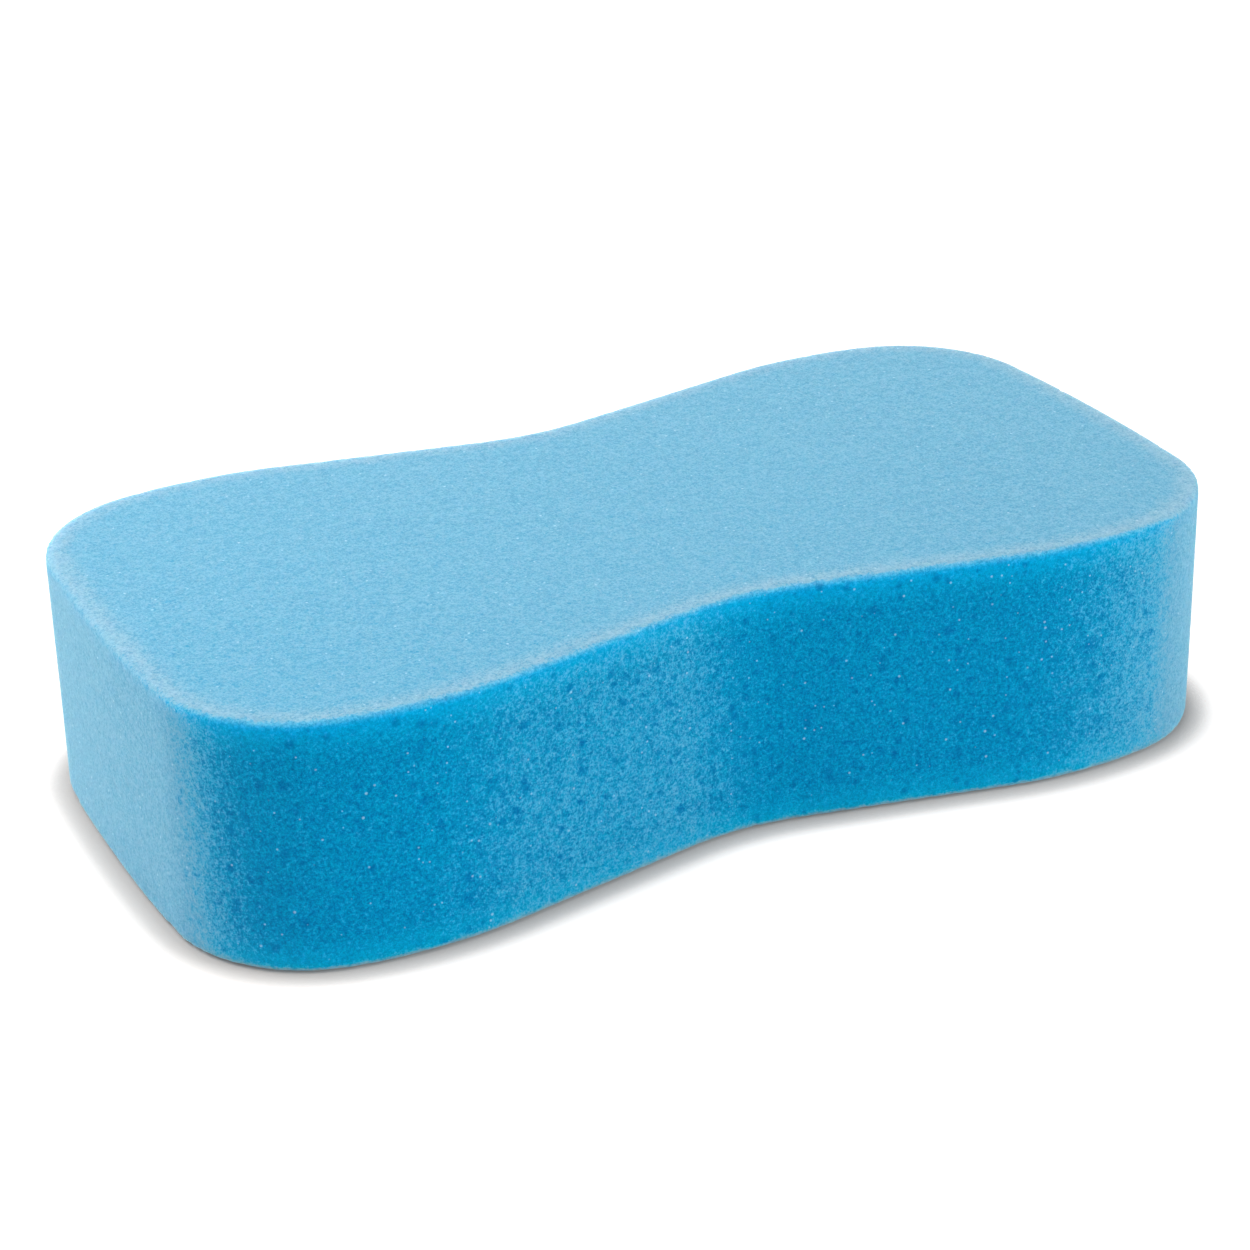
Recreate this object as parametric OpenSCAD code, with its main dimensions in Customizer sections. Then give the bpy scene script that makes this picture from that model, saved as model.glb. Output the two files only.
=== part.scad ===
// Waisted cleaning sponge, cut in one piece from a slab of open-cell foam.
// It lies on its flat underside, with the origin in the middle of that face, its length along X
// and its thickness along Z. In plan each half is a broad lobe with round corners and an end that
// bows out very slightly. A straight flank leads from each lobe into the hollow of the waist.

/* [Overall] */
// Length from end to end
length = 220; // [190:1:250]
// Width over the lobes, where the sponge is widest
width = 116; // [106:1:126]
// Width at the waist, where the hand grips it
waist_width = 93; // [84:1:102]
// Thickness of the slab that it is cut from
thickness = 50; // [20:1:80]

/* [Outline] */
// How far in from the end each lobe is widest
lobe_inset = 40.5; // [36:0.5:46]
// Radius of the long curve over a lobe
lobe_r = 85; // [70:1:95]
// Radius of the hollow at the waist
waist_r = 60; // [40:1:75]
// Radius of the four corners
corner_r = 29; // [20:0.5:32]
// Radius of the slight bow across each end
end_r = 450; // [300:10:900]

/* [Edges] */
// Radius of the soft edge round both flat faces
edge_r = 1.6; // [0.4:0.1:4]

/* [Finish] */
// Colour of the foam, as red, green and blue
foam_colour = [0.34, 0.68, 0.85];

/* [Hidden] */

// Steps that each curve is drawn in
end_steps = 3;
corner_steps = 16;
lobe_steps = 14;
waist_steps = 5;
edge_steps = 4;

function along(angle) = [cos(angle), sin(angle)];
function heading(v) = atan2(v.y, v.x);

// A lobe and the waist shrink together where a deep waist leaves no room for both curves.
waist_depth = (width - waist_width) / 2;
lobe_x = length / 2 - lobe_inset;
room = (lobe_x * lobe_x + waist_depth * waist_depth) / (2 * waist_depth);
share = min(1, room / (lobe_r + waist_r));
lobe_curve = share * lobe_r;
waist_curve = share * waist_r;

// Centres of the curves in one quarter of the outline
lobe_centre = [lobe_x, width / 2 - lobe_curve];
waist_centre = [0, waist_width / 2 + waist_curve];
end_centre = [length / 2 - end_r, 0];

// The flank is the straight line that touches both the lobe and the hollow of the waist.
lobe_to_waist = waist_centre - lobe_centre;
flank_angle = heading(lobe_to_waist) - acos((lobe_curve + waist_curve) / norm(lobe_to_waist));

// The corner touches the lobe's curve and the bow of the end from inside.
lobe_to_end = end_centre - lobe_centre;
reach = norm(lobe_to_end);
from_lobe = lobe_curve - corner_r;
from_end = end_r - corner_r;
corner_turn = acos((pow(from_lobe, 2) + pow(reach, 2) - pow(from_end, 2)) / (2 * reach * from_lobe));
corner_centre = lobe_centre + from_lobe * along(heading(lobe_to_end) - corner_turn);
corner_start = heading(corner_centre - end_centre);
corner_end = heading(corner_centre - lobe_centre);

// Points of a curve between two directions, without its first point
function curve(centre, r, from, to, steps) =
    [for (i = [1:steps]) centre + r * along(from + (to - from) * i / steps)];

// One quarter of the outline, from the middle of an end to the middle of the waist.
// An inset draws it parallel to itself and that much further in.
function quarter(inset) = concat(
    [[length / 2 - inset, 0]],
    curve(end_centre, end_r - inset, 0, corner_start, end_steps),
    curve(corner_centre, corner_r - inset, corner_start, corner_end, corner_steps),
    curve(lobe_centre, lobe_curve - inset, corner_end, flank_angle, lobe_steps),
    curve(waist_centre, waist_curve + inset, 180 + flank_angle, 180 + flank_angle, 1),
    curve(waist_centre, waist_curve + inset, 180 + flank_angle, 270, waist_steps)
);

// The quarter and its mirror image, without the far end's point
function half(q) = concat(q, [for (i = [len(q) - 2:-1:1]) [-q[i].x, q[i].y]]);

// The whole outline: the far half is the near one, turned half way round.
function outline(inset) =
    let (h = half(quarter(inset)))
    concat(h, [for (p = h) -p]);

// Inset and height of each ring of points, from the underside to the top
lower_edge = [
    for (i = [0:edge_steps])
        let (turn = 90 * i / edge_steps)
        [edge_r * (1 - sin(turn)), edge_r * (1 - cos(turn))]
];
upper_edge = [for (i = [edge_steps:-1:0]) [lower_edge[i].x, thickness - lower_edge[i].y]];
rings = concat(lower_edge, upper_edge);

module sponge_body() {
    count = len(outline(0));
    top = count * (len(rings) - 1);
    points = [for (ring = rings, p = outline(ring.x)) [p.x, p.y, ring.y]];
    underside = [for (i = [0:count - 1]) i];
    top_face = [for (i = [count - 1:-1:0]) top + i];
    sides = [
        for (base = [0:count:top - count], i = [0:count - 1])
            let (next = (i + 1) % count)
            [base + i, base + count + i, base + count + next, base + next]
    ];
    color(foam_colour)
        polyhedron(points, concat([underside, top_face], sides));
}

sponge_body();
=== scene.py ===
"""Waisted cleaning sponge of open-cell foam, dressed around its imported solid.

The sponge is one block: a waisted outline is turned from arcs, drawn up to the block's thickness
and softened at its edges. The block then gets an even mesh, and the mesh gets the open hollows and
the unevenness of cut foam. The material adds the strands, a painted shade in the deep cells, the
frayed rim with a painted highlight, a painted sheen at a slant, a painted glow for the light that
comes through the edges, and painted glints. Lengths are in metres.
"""

import math
import random

import bmesh
import bpy
from bpy.props import FloatProperty, FloatVectorProperty, IntProperty, PointerProperty
from bpy.types import Operator, Panel, PropertyGroup
from mathutils import Matrix, Quaternion, Vector, kdtree, noise


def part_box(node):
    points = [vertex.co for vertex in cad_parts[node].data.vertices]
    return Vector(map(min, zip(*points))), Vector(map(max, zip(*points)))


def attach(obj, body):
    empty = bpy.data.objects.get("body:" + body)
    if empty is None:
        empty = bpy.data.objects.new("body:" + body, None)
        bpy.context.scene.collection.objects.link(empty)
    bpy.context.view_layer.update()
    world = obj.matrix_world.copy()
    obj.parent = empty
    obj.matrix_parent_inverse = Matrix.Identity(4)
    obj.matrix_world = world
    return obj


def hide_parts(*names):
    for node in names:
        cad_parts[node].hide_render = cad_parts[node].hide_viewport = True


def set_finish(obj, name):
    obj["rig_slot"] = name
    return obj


bl_info = {
    "name": "Cleaning sponge",
    "version": (1, 0, 0),
    "blender": (4, 5, 0),
    "location": "3D View > Sidebar > Sponge",
    "description": "Models a waisted foam cleaning sponge and the studio that it is shown in",
    "category": "Object",
}

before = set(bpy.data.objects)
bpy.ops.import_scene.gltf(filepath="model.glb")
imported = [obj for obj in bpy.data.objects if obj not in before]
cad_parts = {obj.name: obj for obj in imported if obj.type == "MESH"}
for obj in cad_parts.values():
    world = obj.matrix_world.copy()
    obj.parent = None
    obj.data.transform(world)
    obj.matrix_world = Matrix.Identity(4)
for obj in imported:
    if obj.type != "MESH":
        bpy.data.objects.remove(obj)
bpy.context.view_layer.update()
NODE = "sponge_body"
BODY = "root"
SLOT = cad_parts[NODE].get("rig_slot", "foam")
LOW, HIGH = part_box(NODE)
MM = 0.001
SENSOR_WIDTH = 36.0


class SpongeShape(PropertyGroup):
    """Sizes of the block."""

    length: FloatProperty(
        name="Length", description="Length from end to end",
        default=HIGH.x - LOW.x, min=0.05, unit="LENGTH")
    width: FloatProperty(
        name="Width", description="Width over the lobes",
        default=HIGH.y - LOW.y, min=0.03, unit="LENGTH")
    thickness: FloatProperty(
        name="Thickness", description="Height of the block as it lies",
        default=HIGH.z - LOW.z, min=0.01, unit="LENGTH")
    waist_width: FloatProperty(
        name="Waist width", description="Width where the hand grips the block",
        default=93 * MM, min=0.02, unit="LENGTH")
    lobe_inset: FloatProperty(
        name="Lobe inset", description="How far in from the end a lobe is widest",
        default=40.5 * MM, unit="LENGTH")
    lobe_radius: FloatProperty(
        name="Lobe radius", description="Radius of the long curve over a lobe",
        default=85 * MM, unit="LENGTH")
    waist_radius: FloatProperty(
        name="Waist radius", description="Radius of the hollow at the waist",
        default=60 * MM, unit="LENGTH")
    corner_radius: FloatProperty(
        name="Corner radius", description="Radius of the four corners",
        default=29 * MM, unit="LENGTH")
    end_radius: FloatProperty(
        name="End radius", description="Radius of the slight bow across an end",
        default=450 * MM, unit="LENGTH")
    edge_radius: FloatProperty(
        name="Edge radius", description="Radius of the soft edge round both flat faces",
        default=1.0 * MM, unit="LENGTH")
    mesh_step: FloatProperty(
        name="Mesh step", description="Side of the even mesh's faces",
        default=0.95 * MM, min=0.0004, unit="LENGTH")


class FoamFinish(PropertyGroup):
    """Relief and colours of the foam, with its painted glow, shade, sheen, highlight and glints."""

    hollow_count: IntProperty(
        name="Open hollows", description="Large cells that the cut has opened",
        default=1500, min=0)
    hollow_radius: FloatProperty(
        name="Hollow radius", description="Radius of an average open cell",
        default=0.9 * MM, unit="LENGTH")
    hollow_depth: FloatProperty(
        name="Hollow depth", description="Depth of an average open cell",
        default=0.14 * MM, unit="LENGTH")
    ripple: FloatProperty(
        name="Ripple", description="Depth of the slow unevenness that the cutting wire leaves",
        default=0.15 * MM, unit="LENGTH")
    nap: FloatProperty(
        name="Nap", description="Depth of the fine unevenness of the cut cells",
        default=0.06 * MM, unit="LENGTH")
    cell_size: FloatProperty(
        name="Cell size", description="Size of one foam cell",
        default=0.75 * MM, unit="LENGTH")
    strand_height: FloatProperty(
        name="Strand height", description="How far the strands stand above the bottom of a cell",
        default=0.06 * MM, unit="LENGTH")
    # The frayed edge also carries a painted highlight.
    rim_width: FloatProperty(
        name="Rim width", description="How far the frayed edge reaches in over a flat face",
        default=6 * MM, unit="LENGTH")
    rim_drop: FloatProperty(
        name="Rim drop", description="How far the frayed edge reaches over the wall",
        default=1.4 * MM, unit="LENGTH")
    # How far down the wall the painted edge glow reaches.
    painted_glow_depth: FloatProperty(
        name="Glow depth", description="How far down the wall the light comes through the edge",
        default=10 * MM, unit="LENGTH")
    foam_colour: FloatVectorProperty(
        name="Foam", description="Colour inside the cells", subtype="COLOR",
        default=(0.0, 0.187, 0.447), min=0, max=1)
    strand_colour: FloatVectorProperty(
        name="Strands", description="Colour of the strands between the cells", subtype="COLOR",
        default=(0.0, 0.403, 0.658), min=0, max=1)
    # Painted glow: a brighter blue painted near the top edge, for light that comes through the foam,
    # and at middle slants.
    painted_glow_colour: FloatVectorProperty(
        name="Edge glow", description="Colour of the foam that the light comes through",
        subtype="COLOR", default=(0.0, 0.480, 0.770), min=0, max=1)
    # Painted shade: the darker blue painted into the deep cells.
    painted_cell_shade_colour: FloatVectorProperty(
        name="Deep cells", description="Colour in the depth of an open cell", subtype="COLOR",
        default=(0.0, 0.150, 0.400), min=0, max=1)
    # Painted sheen: the pale colour painted over the foam at a slant.
    painted_sheen_colour: FloatVectorProperty(
        name="Haze", description="Colour of the strands that lie over the cells at a slant",
        subtype="COLOR", default=(0.50, 0.58, 0.52), min=0, max=1)
    # How strong the painted sheen is.
    painted_sheen: FloatProperty(
        name="Haze amount", description="How pale the foam is where the strands cover it",
        default=0.23, min=0, max=1)
    # A painted sheen on the strands that stand out, from any side.
    painted_stray_sheen: FloatProperty(
        name="Stray strands", description="How pale the strands are that stand out from any side",
        default=0.045, min=0, max=1)
    # How unevenly the strands spread the painted sheen.
    unevenness: FloatProperty(
        name="Unevenness", description="How unevenly the strands cover the foam",
        default=0.34, min=0, max=1)
    # Partly the frayed strands' own paleness, partly a painted highlight along the edges.
    fray_and_painted_highlight_colour: FloatVectorProperty(
        name="Rim", description="Colour of the frayed strands along the edges", subtype="COLOR",
        default=(0.66, 0.64, 0.52), min=0, max=1)
    # Painted glints on a few cell walls.
    painted_glint_colour: FloatVectorProperty(
        name="Specks", description="Colour of the few cell walls that shine", subtype="COLOR",
        default=(0.55, 0.80, 0.90), min=0, max=1)


class StudioSettings(PropertyGroup):
    """Light and camera."""

    surround: FloatProperty(
        name="Surrounding light", description="Strength of the even light all around",
        default=0.25, min=0)
    near_power: FloatProperty(
        name="Near light", description="Power of the small soft light close to the left half",
        default=3.0, min=0, unit="POWER")
    left_power: FloatProperty(
        name="Left light", description="Power of the low soft light on the left",
        default=2.7, min=0, unit="POWER")
    back_power: FloatProperty(
        name="Back light", description="Power of the low soft light behind the block",
        default=16.5, min=0, unit="POWER")
    right_power: FloatProperty(
        name="Right light", description="Power of the soft light in front, on the right",
        default=14.2, min=0, unit="POWER")
    camera_azimuth: FloatProperty(
        name="Camera azimuth", description="Turn of the camera from the front, to the right",
        default=math.radians(-26.291), unit="ROTATION")
    camera_elevation: FloatProperty(
        name="Camera elevation", description="Angle of the camera above the floor",
        default=math.radians(25.361), unit="ROTATION")
    camera_roll: FloatProperty(
        name="Camera roll", description="Turn of the camera about its own axis",
        default=-0.02361, unit="ROTATION")
    camera_distance: FloatProperty(
        name="Camera distance", description="From the camera to the point on the floor it looks at",
        default=0.68007, min=0.1, unit="LENGTH")
    camera_aim: FloatVectorProperty(
        name="Camera aim", description="Point on the floor that the camera looks at",
        size=2, default=(0.02150, 0.04732), unit="LENGTH")
    focal_length: FloatProperty(
        name="Focal length", description="Focal length of the camera in millimetres",
        default=2.4909 * SENSOR_WIDTH, min=1)


# Straight steps that each arc of the outline and the rounding of an edge are drawn with.
END_STEPS = 6
CORNER_STEPS = 24
LOBE_STEPS = 24
WAIST_STEPS = 8
EDGE_STEPS = 5

# Points closer than the first are one point, and heights closer than the second are level.
SAME_POINT = 0.01 * MM
SAME_HEIGHT = 0.1 * MM

# Distance between the points that mark an edge.
EDGE_POINT_STEP = 0.5 * MM


def spin_arc(bm, corner, centre, turn, steps):
    """Draws an arc on from a corner, round a centre, and gives its far end."""
    made = bmesh.ops.spin(
        bm, geom=[corner], cent=(centre.x, centre.y, 0), axis=(0, 0, 1), dvec=(0, 0, 0),
        angle=turn, steps=steps, space=Matrix.Identity(4), use_duplicate=False)
    return next(part for part in made["geom_last"] if isinstance(part, bmesh.types.BMVert))


def draw_line(bm, corner, end):
    """Draws a straight line on from a corner, and gives its far end."""
    made = bmesh.ops.extrude_vert_indiv(bm, verts=[corner])
    bmesh.ops.translate(bm, verts=made["verts"], vec=end - corner.co)
    return made["verts"][0]


def heading(vector):
    """The direction of a vector, as an angle about the upright."""
    return math.atan2(vector.y, vector.x)


def along(angle):
    """A step of one in a direction."""
    return Vector((math.cos(angle), math.sin(angle), 0))


def draw_outline(bm, shape):
    """One quarter is drawn from the middle of an end to the middle of the waist, then mirrored."""
    half_length = shape.length / 2
    lobe_centre = Vector((half_length - shape.lobe_inset, shape.width / 2 - shape.lobe_radius, 0))
    waist_centre = Vector((0, shape.waist_width / 2 + shape.waist_radius, 0))
    end_centre = Vector((half_length - shape.end_radius, 0, 0))

    to_waist = waist_centre - lobe_centre
    flank = heading(to_waist) - math.acos((shape.lobe_radius + shape.waist_radius) / to_waist.length)
    flank_end = waist_centre - shape.waist_radius * along(flank)

    to_end = end_centre - lobe_centre
    from_lobe = shape.lobe_radius - shape.corner_radius
    from_end = shape.end_radius - shape.corner_radius
    corner_turn = math.acos(
        (from_lobe ** 2 + to_end.length ** 2 - from_end ** 2) / (2 * from_lobe * to_end.length))
    corner_centre = lobe_centre + from_lobe * along(heading(to_end) - corner_turn)
    corner_start = heading(corner_centre - end_centre)
    corner_end = heading(corner_centre - lobe_centre)

    corner = bm.verts.new((half_length, 0, 0))
    corner = spin_arc(bm, corner, end_centre, corner_start, END_STEPS)
    corner = spin_arc(bm, corner, corner_centre, corner_end - corner_start, CORNER_STEPS)
    corner = spin_arc(bm, corner, lobe_centre, flank - corner_end, LOBE_STEPS)
    corner = draw_line(bm, corner, flank_end)
    spin_arc(bm, corner, waist_centre, math.pi / 2 - flank, WAIST_STEPS)
    for axis in "XY":
        bmesh.ops.mirror(
            bm, geom=bm.verts[:] + bm.edges[:], matrix=Matrix.Identity(4),
            merge_dist=SAME_POINT, axis=axis)
    bmesh.ops.remove_doubles(bm, verts=bm.verts[:], dist=SAME_POINT)


def model_block(shape):
    """The block with its soft edges."""
    bm = bmesh.new()
    draw_outline(bm, shape)
    bmesh.ops.contextual_create(bm, geom=bm.edges[:])
    drawn_up = bmesh.ops.extrude_face_region(bm, geom=bm.faces[:])
    upper = [part for part in drawn_up["geom"] if isinstance(part, bmesh.types.BMVert)]
    bmesh.ops.translate(bm, verts=upper, vec=(0, 0, shape.thickness))
    bmesh.ops.recalc_face_normals(bm, faces=bm.faces[:])
    rims = [edge for edge in bm.edges if abs(edge.verts[0].co.z - edge.verts[1].co.z) < SAME_HEIGHT]
    bmesh.ops.bevel(
        bm, geom=rims, offset=shape.edge_radius, offset_type="OFFSET", segments=EDGE_STEPS,
        profile=0.5, affect="EDGES", material=-1)
    mesh = bpy.data.meshes.new("foam_block")
    bm.to_mesh(mesh)
    bm.free()
    return mesh


def even_mesh(obj, step):
    """Gives the object a mesh of even small faces, fine enough for its hollows."""
    remesh = obj.modifiers.new("Even mesh", "REMESH")
    remesh.mode = "VOXEL"
    remesh.voxel_size = step
    remesh.use_smooth_shade = True
    settled = bpy.data.meshes.new_from_object(obj.evaluated_get(bpy.context.evaluated_depsgraph_get()))
    obj.modifiers.clear()
    block = obj.data
    obj.data = settled
    bpy.data.meshes.remove(block)


def edge_lines(block, shape):
    """A search tree of points along the lines where the flat faces turn into their soft edges."""
    flat = {
        v.index for v in block.vertices
        if min(v.co.z, shape.thickness - v.co.z) < SAME_POINT
    }
    points = []
    for edge in block.edges:
        if not flat.issuperset(edge.vertices):
            continue
        start, end = (block.vertices[i].co for i in edge.vertices)
        parts = math.ceil((end - start).length / EDGE_POINT_STEP)
        points += [start.lerp(end, i / parts) for i in range(parts)]
    tree = kdtree.KDTree(len(points))
    for i, point in enumerate(points):
        tree.insert(point, i)
    tree.balance()
    return tree


HOLLOW_SEED = 7

# Least and most radius and depth of a hollow, in shares of the average.
RADIUS_SPREAD = (0.7, 1.4)
DEPTH_SPREAD = (0.4, 1.3)

# Waves of the slow unevenness to a metre, and the falloff, step and number of its layers.
RIPPLES_A_METRE = 28
RIPPLE_LAYERS = (1.0, 2.0, 2)

# Foam cells to one wave of the fine unevenness.
NAP_CELLS = 1.6


def sink_hollows(mesh, finish):
    """How deep each point of the mesh lies in an open cell."""
    draw = random.Random(HOLLOW_SEED)
    depth = [0.0] * len(mesh.vertices)
    tree = kdtree.KDTree(len(mesh.vertices))
    for v in mesh.vertices:
        tree.insert(v.co, v.index)
    tree.balance()
    for _ in range(finish.hollow_count):
        middle = mesh.vertices[draw.randrange(len(mesh.vertices))]
        radius = finish.hollow_radius * draw.uniform(*RADIUS_SPREAD)
        sink = finish.hollow_depth * draw.uniform(*DEPTH_SPREAD)
        for _, index, distance in tree.find_range(middle.co, radius):
            share = (1 - (distance / radius) ** 2) ** 2
            depth[index] = max(depth[index], sink * share)
    return depth


def nearness(point, edge, reach_in, reach_down):
    """One at an edge, and less over the flat face and down the wall, to nought at each reach."""
    inset = math.hypot(point.x - edge.x, point.y - edge.y)
    drop = abs(point.z - edge.z)
    return max(0.0, 1 - math.hypot(inset / reach_in, drop / reach_down))


def roughen(mesh, edges, finish):
    """Sinks the hollows and the unevenness into the mesh, and notes how near its edges it is."""
    depth = sink_hollows(mesh, finish)
    normals = [v.normal.copy() for v in mesh.vertices]
    rim_note = mesh.attributes.new("rim", "FLOAT", "POINT")
    painted_glow_note = mesh.attributes.new("glow", "FLOAT", "POINT")
    for v in mesh.vertices:
        edge = edges.find(v.co)[0]
        rim_note.data[v.index].value = nearness(v.co, edge, finish.rim_width, finish.rim_drop)
        # The glow note marks where the colour is painted brighter for light through the edge.
        painted_glow_note.data[v.index].value = nearness(v.co, edge, finish.rim_width, finish.painted_glow_depth)
    for v in mesh.vertices:
        wave = noise.fractal(v.co * RIPPLES_A_METRE, *RIPPLE_LAYERS)
        slow = 0.5 + 0.5 * max(-1.0, min(1.0, wave))
        fine = abs(noise.noise(v.co / (NAP_CELLS * finish.cell_size)))
        v.co -= normals[v.index] * (depth[v.index] + finish.ripple * slow + finish.nap * fine)


def group_sockets(group, inputs, outputs):
    """Gives a node group its named inputs and outputs."""
    for name, kind in inputs:
        group.interface.new_socket(name=name, in_out="INPUT", socket_type=kind)
    for name, kind in outputs:
        group.interface.new_socket(name=name, in_out="OUTPUT", socket_type=kind)


def add_map(nodes, links, value, start, end, low=0.0, high=1.0):
    """A value taken softly from one range to another."""
    step = nodes.new("ShaderNodeMapRange")
    step.interpolation_type = "SMOOTHSTEP"
    step.inputs["From Min"].default_value = start
    step.inputs["From Max"].default_value = end
    step.inputs["To Min"].default_value = low
    step.inputs["To Max"].default_value = high
    links.new(value, step.inputs["Value"])
    return step.outputs["Result"]


def add_math(nodes, links, operation, *values):
    """A sum of sockets and numbers."""
    step = nodes.new("ShaderNodeMath")
    step.operation = operation
    for socket, value in zip(step.inputs, values):
        if isinstance(value, bpy.types.NodeSocket):
            links.new(value, socket)
        else:
            socket.default_value = value
    return step.outputs[0]


def add_noise(nodes, links, place, size, detail, roughness):
    """A soft random pattern with features of a given size."""
    pattern = nodes.new("ShaderNodeTexNoise")
    pattern.inputs["Scale"].default_value = 1 / size
    pattern.inputs["Detail"].default_value = detail
    pattern.inputs["Roughness"].default_value = roughness
    links.new(place, pattern.inputs["Vector"])
    return pattern


def add_cells(nodes, links, place, feature):
    """A random cell pattern, one cell to the unit."""
    pattern = nodes.new("ShaderNodeTexVoronoi")
    pattern.feature = feature
    pattern.inputs["Scale"].default_value = 1.0
    links.new(place, pattern.inputs["Vector"])
    return pattern


def add_scaling(nodes, links, place, size):
    """A place measured in units of a given size, which may be a socket."""
    step = nodes.new("ShaderNodeVectorMath")
    step.operation = "SCALE"
    links.new(place, step.inputs[0])
    if isinstance(size, bpy.types.NodeSocket):
        links.new(add_math(nodes, links, "DIVIDE", 1.0, size), step.inputs["Scale"])
    else:
        step.inputs["Scale"].default_value = 1 / size
    return step.outputs[0]


# Where a spot ends and where it is full, in shares of its radius.
SPOT_FADE = (1.0, 0.2)


def add_spots(nodes, links, place, spacing, smallest, largest, share):
    """Spots of random size scattered in depth, of which a share is kept."""
    cells = add_cells(nodes, links, add_scaling(nodes, links, place, spacing), "F1")
    pick = nodes.new("ShaderNodeSeparateColor")
    links.new(cells.outputs["Color"], pick.inputs[0])
    radius = add_math(
        nodes, links, "MULTIPLY_ADD", pick.outputs[1],
        (largest - smallest) / spacing, smallest / spacing)
    from_middle = add_math(nodes, links, "DIVIDE", cells.outputs["Distance"], radius)
    spot = add_map(nodes, links, from_middle, *SPOT_FADE)
    kept = add_math(nodes, links, "LESS_THAN", pick.outputs[0], share)
    return add_math(nodes, links, "MULTIPLY", spot, kept)


# Size, detail and roughness of the noise that bends the cells, tangles the strands and grains them.
BEND_NOISE = (1.1 * MM, 1.0, 0.7)
TANGLE_NOISE = (1.4 * MM, 3.0, 0.85)
GRAIN_NOISE = (0.56 * MM, 2.0, 1.0)

# How far the cells are bent out of their places.
BEND_REACH = 1.2 * MM

# How far a cell's walls reach in from its edge, and what counts as a loose and a dense tangle.
WALL_REACH = 0.30
TANGLE_RANGE = (0.25, 0.75)

# How much the walls add to the tangle, and the tangle to the grain.
WALL_SHARE = 0.5
TANGLE_SHARE = 0.4

# Spacing, smallest and largest radius, and the share that is kept: of the deep cells, which get a
# painted shade, and of the specks, which get painted glints.
DEEP_CELLS = (2.5 * MM, 0.3 * MM, 1.6 * MM, 0.42)
SPECKS = (1.9 * MM, 0.1 * MM, 0.42 * MM, 0.6)


def foam_cells_group():
    """Cut foam: its strands, its grain, its deep cells for a painted shade and its specks for painted
    glints.
    """
    group = bpy.data.node_groups.new("Cut foam cells", "ShaderNodeTree")
    group_sockets(
        group,
        [("Cell size", "NodeSocketFloat")],
        [(name, "NodeSocketFloat") for name in ("Strands", "Grain", "Deep cells", "Specks")])
    nodes, links = group.nodes, group.links
    start = nodes.new("NodeGroupInput")
    end = nodes.new("NodeGroupOutput")
    place = nodes.new("ShaderNodeTexCoord").outputs["Object"]

    bend = nodes.new("ShaderNodeVectorMath")
    bend.operation = "MULTIPLY_ADD"
    bend.inputs[1].default_value = (BEND_REACH, BEND_REACH, BEND_REACH)
    links.new(add_noise(nodes, links, place, *BEND_NOISE).outputs["Color"], bend.inputs[0])
    links.new(place, bend.inputs[2])
    bent = bend.outputs[0]
    cells = add_cells(
        nodes, links, add_scaling(nodes, links, bent, start.outputs["Cell size"]), "DISTANCE_TO_EDGE")
    strand = add_map(nodes, links, cells.outputs["Distance"], WALL_REACH, 0.0)
    tangle = add_noise(nodes, links, place, *TANGLE_NOISE).outputs["Fac"]
    grain = add_noise(nodes, links, place, *GRAIN_NOISE).outputs["Fac"]
    strands = add_map(nodes, links, tangle, *TANGLE_RANGE)
    strands = add_math(nodes, links, "MULTIPLY_ADD", strand, WALL_SHARE, strands)
    strands = add_math(nodes, links, "MULTIPLY_ADD", strands, TANGLE_SHARE, grain)
    deep = add_spots(nodes, links, bent, *DEEP_CELLS)
    specks = add_spots(nodes, links, place, *SPECKS)
    for name, value in (
            ("Strands", strands), ("Grain", grain), ("Deep cells", deep), ("Specks", specks)):
        links.new(value, end.inputs[name])
    return group


def blend_colour(nodes, links, share, below, above):
    """A mix of two colours or sockets by a share."""
    mix = nodes.new("ShaderNodeMix")
    mix.data_type = "RGBA"
    for socket, value in ((mix.inputs[6], below), (mix.inputs[7], above)):
        if isinstance(value, bpy.types.NodeSocket):
            links.new(value, socket)
        else:
            socket.default_value = (*value, 1)
    links.new(share, mix.inputs["Factor"])
    return mix.outputs[2]


# What counts as few and many strands, as the grain's low and high, and as a stray strand.
STRAND_RANGE = (0.37, 1.17)
GRAIN_RANGE = (0.3, 0.7)
STRAY_RANGE = (0.96, 1.2)

# The cover at which the painted sheen sets in, and at which it is full.
PAINTED_SHEEN_RANGE = (0.495, 0.850)

# What the deep cells take from the cover of painted sheen, and what the frayed rim adds to it.
DEEP_CELL_GAP = 0.08
RIM_PAINTED_SHEEN = 0.14

# From few strands to many: how frayed the rim is, how thick the painted sheen and how light the foam.
FRAY_RANGE = (0.55, 1.2)
THICKNESS_RANGE = (0.6, 1.4)
SHADE_RANGE = (0.88, 1.12)

# How near to an edge the colour is painted to glow, how strongly, and what the rim takes from it.
PAINTED_GLOW_RANGE = (0.1, 1.0)
PAINTED_GLOW_SHARE = 0.6
RIM_SHADOW = 0.35

# How strongly the painted shade of the deep cells shows where the foam is face on and where the
# painted sheen covers it.
DEEP_CELL_SHARES = (0.6, 0.15)

# How far the grain goes to either side of its middle, and what the painted sheen takes from that.
GRAIN_DEPTH = (-0.5, 0.5)
GRAIN_FADE = 0.7

# How strongly the painted glow at middle slants, the frayed rim with its painted highlight and the
# painted glints show.
PAINTED_MID_SLANT_SHARE = 1.1
RIM_SHARE = 0.17
PAINTED_GLINT_SHARE = 0.42

SOFT_FOAM = {
    "Roughness": 1.0,
    "Specular IOR Level": 0.0,
    "Sheen Weight": 0.3,
    "Sheen Roughness": 0.4,
    "Sheen Tint": (0.8, 0.9, 0.92, 1),
    "Subsurface Weight": 1.0,
    "Subsurface Radius": (0.25, 0.7, 1.0),
    "Subsurface Scale": 6 * MM,
}


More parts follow.
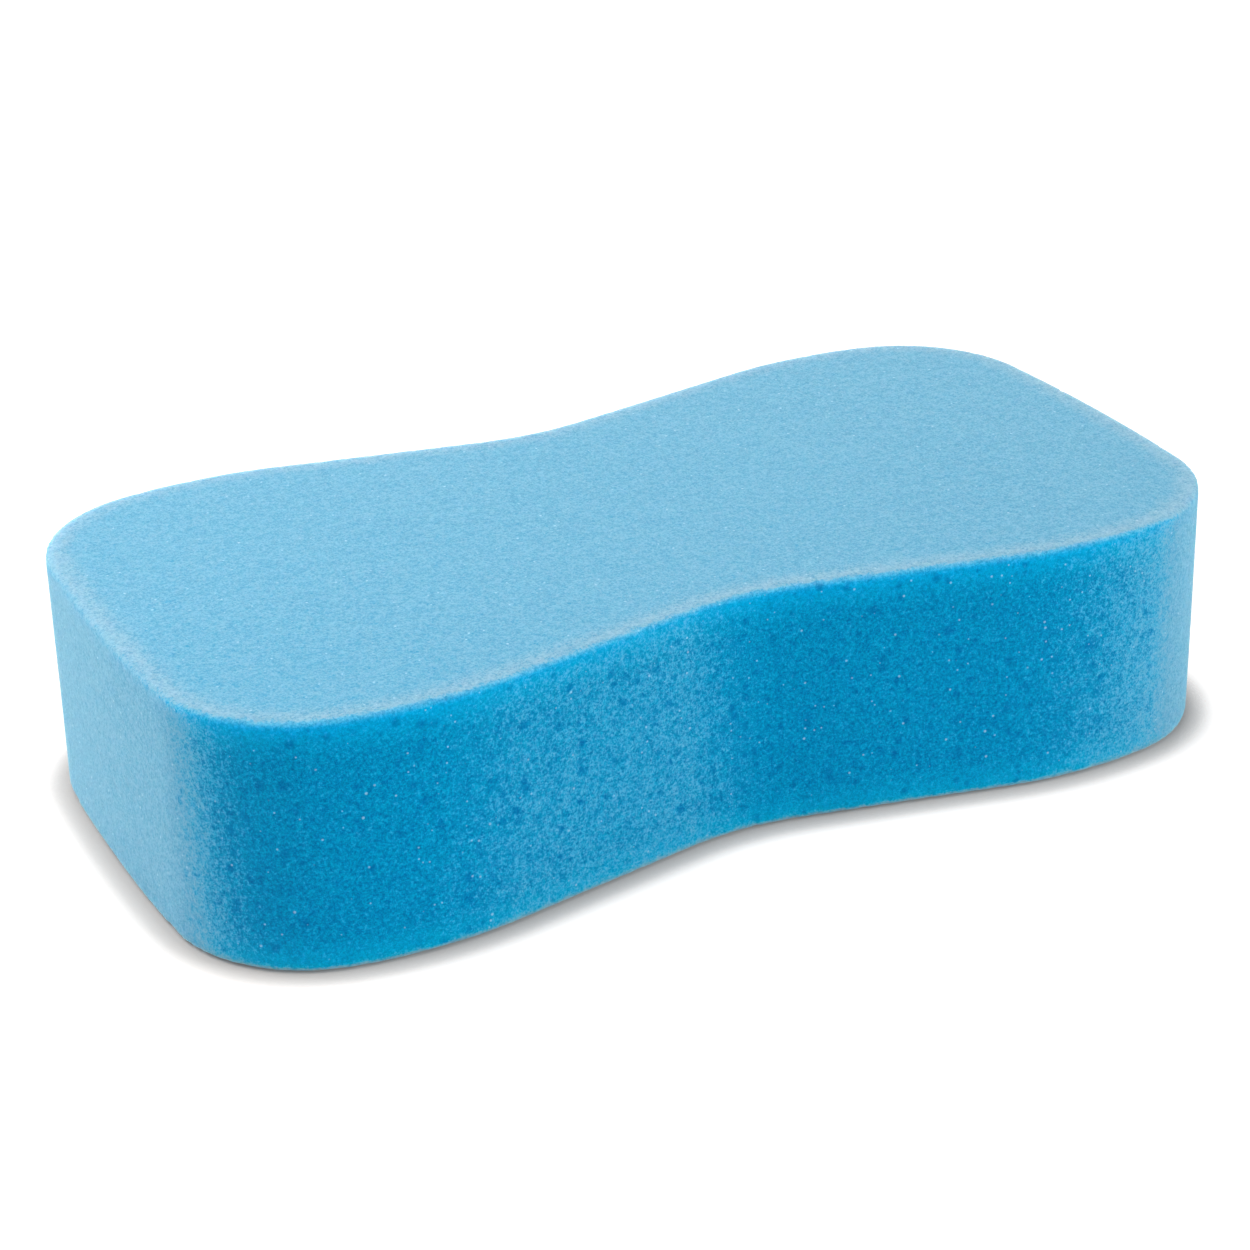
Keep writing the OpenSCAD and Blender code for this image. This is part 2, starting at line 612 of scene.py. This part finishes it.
def foam_material(finish):
    """The foam, its colour laid up from the inside of the cells to the painted glints, with painted
    glow, shade, sheen and highlight among the layers.
    """
    material = bpy.data.materials.new("Blue open-cell foam")
    material.use_nodes = True
    nodes, links = material.node_tree.nodes, material.node_tree.links
    shader = nodes["Principled BSDF"]

    cells = nodes.new("ShaderNodeGroup")
    cells.node_tree = foam_cells_group()
    cells.inputs["Cell size"].default_value = finish.cell_size
    rim = nodes.new("ShaderNodeAttribute")
    rim.attribute_name = "rim"
    glow = nodes.new("ShaderNodeAttribute")
    glow.attribute_name = "glow"
    # Painted glow near the top edge, held back under the frayed rim.
    painted_glow_mask = add_math(
        nodes, links, "MULTIPLY_ADD", rim.outputs["Fac"], -RIM_SHADOW, glow.outputs["Fac"])
    # The frayed rim, with a painted highlight along the edges.
    ragged = add_map(nodes, links, cells.outputs["Strands"], *STRAND_RANGE, *FRAY_RANGE)
    frayed = add_math(nodes, links, "MULTIPLY", rim.outputs["Fac"], ragged)

    # A painted sheen: by the Layer Weight's facing, the foam is painted paler at a slant, where the
    # eye meets more strands, and the painted glow, the painted shade of the deep cells and the grain
    # change with it. The colour so changes with the view, and an exported model has only the colour
    # face on.
    slant = nodes.new("ShaderNodeLayerWeight")
    slant.inputs["Blend"].default_value = 0.5
    cover = add_math(
        nodes, links, "MULTIPLY_ADD", cells.outputs["Strands"], finish.unevenness,
        slant.outputs["Facing"])
    cover = add_math(
        nodes, links, "MULTIPLY_ADD", cells.outputs["Deep cells"], -DEEP_CELL_GAP, cover)
    cover = add_math(nodes, links, "MULTIPLY_ADD", frayed, RIM_PAINTED_SHEEN, cover)
    painted_sheen_share = add_map(nodes, links, cover, *PAINTED_SHEEN_RANGE)
    outside_painted_sheen = add_math(nodes, links, "SUBTRACT", 1.0, painted_sheen_share)
    # A painted glow at middle slants.
    painted_mid_slant_glow = add_math(nodes, links, "MULTIPLY", painted_sheen_share, outside_painted_sheen)
    # The painted sheen, which grows with the slant.
    painted_sheen = add_math(nodes, links, "MULTIPLY", painted_sheen_share, finish.painted_sheen)
    painted_glow_mask = add_map(nodes, links, painted_glow_mask, *PAINTED_GLOW_RANGE, 0.0, PAINTED_GLOW_SHARE)
    # Painted shade in the deep cells, less at a slant and none on the rim.
    painted_cell_shade_share = add_map(nodes, links, cover, *PAINTED_SHEEN_RANGE, *DEEP_CELL_SHARES)
    painted_cell_shade_share = add_math(
        nodes, links, "MULTIPLY_ADD", rim.outputs["Fac"], -DEEP_CELL_SHARES[0], painted_cell_shade_share)
    painted_cell_shade_share = add_math(nodes, links, "MAXIMUM", painted_cell_shade_share, 0.0)
    # The painted sheen is thicker where the strands are many, and lies on stray strands from any side.
    thickness = add_map(nodes, links, cells.outputs["Strands"], *STRAND_RANGE, *THICKNESS_RANGE)
    painted_sheen = add_math(nodes, links, "MULTIPLY", painted_sheen, thickness)
    painted_stray_sheen = add_map(nodes, links, cells.outputs["Strands"], *STRAY_RANGE, 0.0, finish.painted_stray_sheen)
    painted_sheen = add_math(nodes, links, "MAXIMUM", painted_sheen, painted_stray_sheen)

    # The grain, which the painted sheen fades at a slant.
    grain = add_map(nodes, links, cells.outputs["Grain"], *GRAIN_RANGE, *GRAIN_DEPTH)
    grain_left_by_sheen = add_math(nodes, links, "MULTIPLY_ADD", painted_sheen_share, -GRAIN_FADE, 1.0)
    grain = add_math(nodes, links, "MULTIPLY_ADD", grain, grain_left_by_sheen, 0.5)

    deep_cells = cells.outputs["Deep cells"]
    specks = cells.outputs["Specks"]
    colour = finish.foam_colour
    # From below: the strands' grain, the painted edge glow, the painted shade of the deep cells, the
    # painted glow at middle slants, the painted sheen, the frayed rim with its painted highlight and
    # the painted glints.
    for share, top in (
            (grain, finish.strand_colour),
            (add_math(nodes, links, "MULTIPLY", painted_glow_mask, outside_painted_sheen), finish.painted_glow_colour),
            (add_math(nodes, links, "MULTIPLY", deep_cells, painted_cell_shade_share), finish.painted_cell_shade_colour),
            (add_math(nodes, links, "MULTIPLY", painted_mid_slant_glow, PAINTED_MID_SLANT_SHARE), finish.painted_glow_colour),
            (painted_sheen, finish.painted_sheen_colour),
            (add_map(nodes, links, frayed, 0.0, 1.0, 0.0, RIM_SHARE), finish.fray_and_painted_highlight_colour),
            (add_map(nodes, links, specks, 0.0, 1.0, 0.0, PAINTED_GLINT_SHARE), finish.painted_glint_colour)):
        colour = blend_colour(nodes, links, share, colour, top)
    shade = nodes.new("ShaderNodeVectorMath")
    shade.operation = "SCALE"
    links.new(colour, shade.inputs[0])
    lightness = add_map(nodes, links, cells.outputs["Strands"], *STRAND_RANGE, *SHADE_RANGE)
    links.new(lightness, shade.inputs["Scale"])
    links.new(shade.outputs[0], shader.inputs["Base Color"])

    bump = nodes.new("ShaderNodeBump")
    bump.inputs["Strength"].default_value = 1.0
    bump.inputs["Distance"].default_value = finish.strand_height
    links.new(cells.outputs["Grain"], bump.inputs["Height"])
    links.new(bump.outputs["Normal"], shader.inputs["Normal"])

    for name, value in SOFT_FOAM.items():
        shader.inputs[name].default_value = value
    return material


FLOOR_SIZE = 2.4
FLOOR_COLOUR = (0.8, 0.8, 0.8)

# The floor as the camera sees it: its colour, and how much of it is white light of its own.
FLOOR_COLOUR_SEEN = (2.8, 2.5, 2.3)
FLOOR_LIFT = 0.85

# A painted contact shadow where the sponge touches the floor, drawn by ambient occlusion: its
# reach, how open the floor is where it is darkest and where it ends, how light it is where it is
# darkest, and the rays that find it.
CONTACT_REACH = 7 * MM
CONTACT_OPENNESS = (0.58, 1.0)
CONTACT_SHADE = 0.1
CONTACT_SAMPLES = 4

# Name, place and size of each lamp, and the setting that gives its power.
LAMPS = (
    ("near light", (-0.40, 0.10, 0.60), 0.4, "near_power"),
    ("left light", (-1.2, 0.4, 0.5), 0.9, "left_power"),
    ("back light", (0.1, 1.4, 0.45), 0.9, "back_power"),
    ("right light", (0.8, -1.1, 0.6), 0.9, "right_power"),
)


def seen_directly(nodes, links):
    """One for what the camera sees itself, in a mirror or through glass, and nought for light."""
    seen = nodes.new("ShaderNodeLightPath")
    mirrored = add_math(
        nodes, links, "MAXIMUM", seen.outputs["Is Glossy Ray"], seen.outputs["Is Transmission Ray"])
    return add_math(nodes, links, "MAXIMUM", seen.outputs["Is Camera Ray"], mirrored)


def floor_material():
    """Pale paper that shows white, with the sponge's soft shadow from the lamps and a painted contact
    shadow along it.
    """
    material = bpy.data.materials.new("Studio floor")
    material.use_nodes = True
    nodes, links = material.node_tree.nodes, material.node_tree.links
    nodes.clear()
    out = nodes.new("ShaderNodeOutputMaterial")
    seen = seen_directly(nodes, links)
    paper = nodes.new("ShaderNodeBsdfDiffuse")
    links.new(blend_colour(nodes, links, seen, FLOOR_COLOUR, FLOOR_COLOUR_SEEN), paper.inputs["Color"])
    # A painted contact shadow: ambient occlusion darkens the floor's own white light beside the
    # sponge.
    painted_shadow_ao = nodes.new("ShaderNodeAmbientOcclusion")
    painted_shadow_ao.inputs["Distance"].default_value = CONTACT_REACH
    painted_shadow_ao.samples = CONTACT_SAMPLES
    glow = nodes.new("ShaderNodeEmission")
    light = add_map(nodes, links, painted_shadow_ao.outputs["AO"], *CONTACT_OPENNESS, CONTACT_SHADE, 1.0)
    links.new(light, glow.inputs["Strength"])
    lift = nodes.new("ShaderNodeMixShader")
    links.new(add_math(nodes, links, "MULTIPLY", seen, FLOOR_LIFT), lift.inputs[0])
    links.new(paper.outputs["BSDF"], lift.inputs[1])
    links.new(glow.outputs["Emission"], lift.inputs[2])
    links.new(lift.outputs["Shader"], out.inputs["Surface"])
    return material


def white_world(strength):
    """An even light of a given strength all around, which itself shows white."""
    world = bpy.data.worlds.new("Studio surround")
    bpy.context.scene.world = world
    world.use_nodes = True
    nodes, links = world.node_tree.nodes, world.node_tree.links
    background = nodes["Background"]
    background.inputs["Color"].default_value = (1, 1, 1, 1)
    level = add_map(nodes, links, seen_directly(nodes, links), 0.0, 1.0, strength, 1.0)
    links.new(level, background.inputs["Strength"])


def soft_lamp(name, place, size, power):
    """A large square lamp that faces the middle of the sponge."""
    lamp = bpy.data.lights.new(name, "AREA")
    lamp.shape = "SQUARE"
    lamp.size = size
    lamp.energy = power
    obj = bpy.data.objects.new(name, lamp)
    bpy.context.scene.collection.objects.link(obj)
    obj.location = place
    obj.rotation_euler = (-Vector(place)).to_track_quat("-Z", "Y").to_euler()


def place_camera(settings):
    """A camera that looks at its aim on the floor from its angle and distance."""
    camera = bpy.data.cameras.new("Camera")
    camera.sensor_fit = "HORIZONTAL"
    camera.sensor_width = SENSOR_WIDTH
    camera.lens = settings.focal_length
    obj = bpy.data.objects.new("Camera", camera)
    bpy.context.scene.collection.objects.link(obj)
    level = math.cos(settings.camera_elevation)
    back = Vector((
        math.sin(settings.camera_azimuth) * level,
        -math.cos(settings.camera_azimuth) * level,
        math.sin(settings.camera_elevation)))
    turn = back.to_track_quat("Z", "Y") @ Quaternion((0, 0, 1), settings.camera_roll)
    aim = Vector((*settings.camera_aim, LOW.z))
    obj.matrix_world = Matrix.LocRotScale(aim + back * settings.camera_distance, turn, None)
    bpy.context.scene.camera = obj


class SPONGE_OT_block(Operator):
    """Model the foam block in place of its plain solid"""

    bl_idname = "sponge.block"
    bl_label = "Model foam block"

    def execute(self, context):
        shape = context.scene.sponge_shape
        finish = context.scene.foam_finish
        block = bpy.data.objects.new("foam_sponge", model_block(shape))
        context.scene.collection.objects.link(block)
        edges = edge_lines(block.data, shape)
        even_mesh(block, shape.mesh_step)
        roughen(block.data, edges, finish)
        block.data.materials.append(foam_material(finish))
        for face in block.data.polygons:
            face.use_smooth = True
        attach(block, BODY)
        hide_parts(NODE)
        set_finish(block, SLOT)
        return {"FINISHED"}


class SPONGE_OT_studio(Operator):
    """Set up the white floor, the soft light and the camera"""

    bl_idname = "sponge.studio"
    bl_label = "Set up studio"

    def execute(self, context):
        settings = context.scene.studio_settings
        bm = bmesh.new()
        bmesh.ops.create_grid(bm, x_segments=1, y_segments=1, size=FLOOR_SIZE / 2)
        mesh = bpy.data.meshes.new("studio_floor")
        bm.to_mesh(mesh)
        bm.free()
        floor = bpy.data.objects.new("studio_floor", mesh)
        context.scene.collection.objects.link(floor)
        floor.location.z = LOW.z
        mesh.materials.append(floor_material())
        white_world(settings.surround)
        for name, place, size, power in LAMPS:
            soft_lamp(name, place, size, getattr(settings, power))
        place_camera(settings)
        context.scene.view_settings.view_transform = "Standard"
        return {"FINISHED"}


class SPONGE_PT_panel(Panel):
    """Sizes, finish and studio of the sponge"""

    bl_idname = "SPONGE_PT_panel"
    bl_label = "Cleaning sponge"
    bl_space_type = "VIEW_3D"
    bl_region_type = "UI"
    bl_category = "Sponge"

    def draw(self, context):
        for group in GROUPS:
            settings = getattr(context.scene, group)
            for name in settings.bl_rna.properties.keys():
                if name not in ("rna_type", "name"):
                    self.layout.prop(settings, name)
        self.layout.operator(SPONGE_OT_block.bl_idname)
        self.layout.operator(SPONGE_OT_studio.bl_idname)


GROUPS = {"sponge_shape": SpongeShape, "foam_finish": FoamFinish, "studio_settings": StudioSettings}
CLASSES = (*GROUPS.values(), SPONGE_OT_block, SPONGE_OT_studio, SPONGE_PT_panel)


def register():
    for cls in CLASSES:
        bpy.utils.register_class(cls)
    for name, cls in GROUPS.items():
        setattr(bpy.types.Scene, name, PointerProperty(type=cls))


def unregister():
    for name in GROUPS:
        delattr(bpy.types.Scene, name)
    for cls in reversed(CLASSES):
        bpy.utils.unregister_class(cls)


def main():
    register()
    bpy.ops.sponge.block()
    bpy.ops.sponge.studio()


if __name__ == "__main__":
    main()
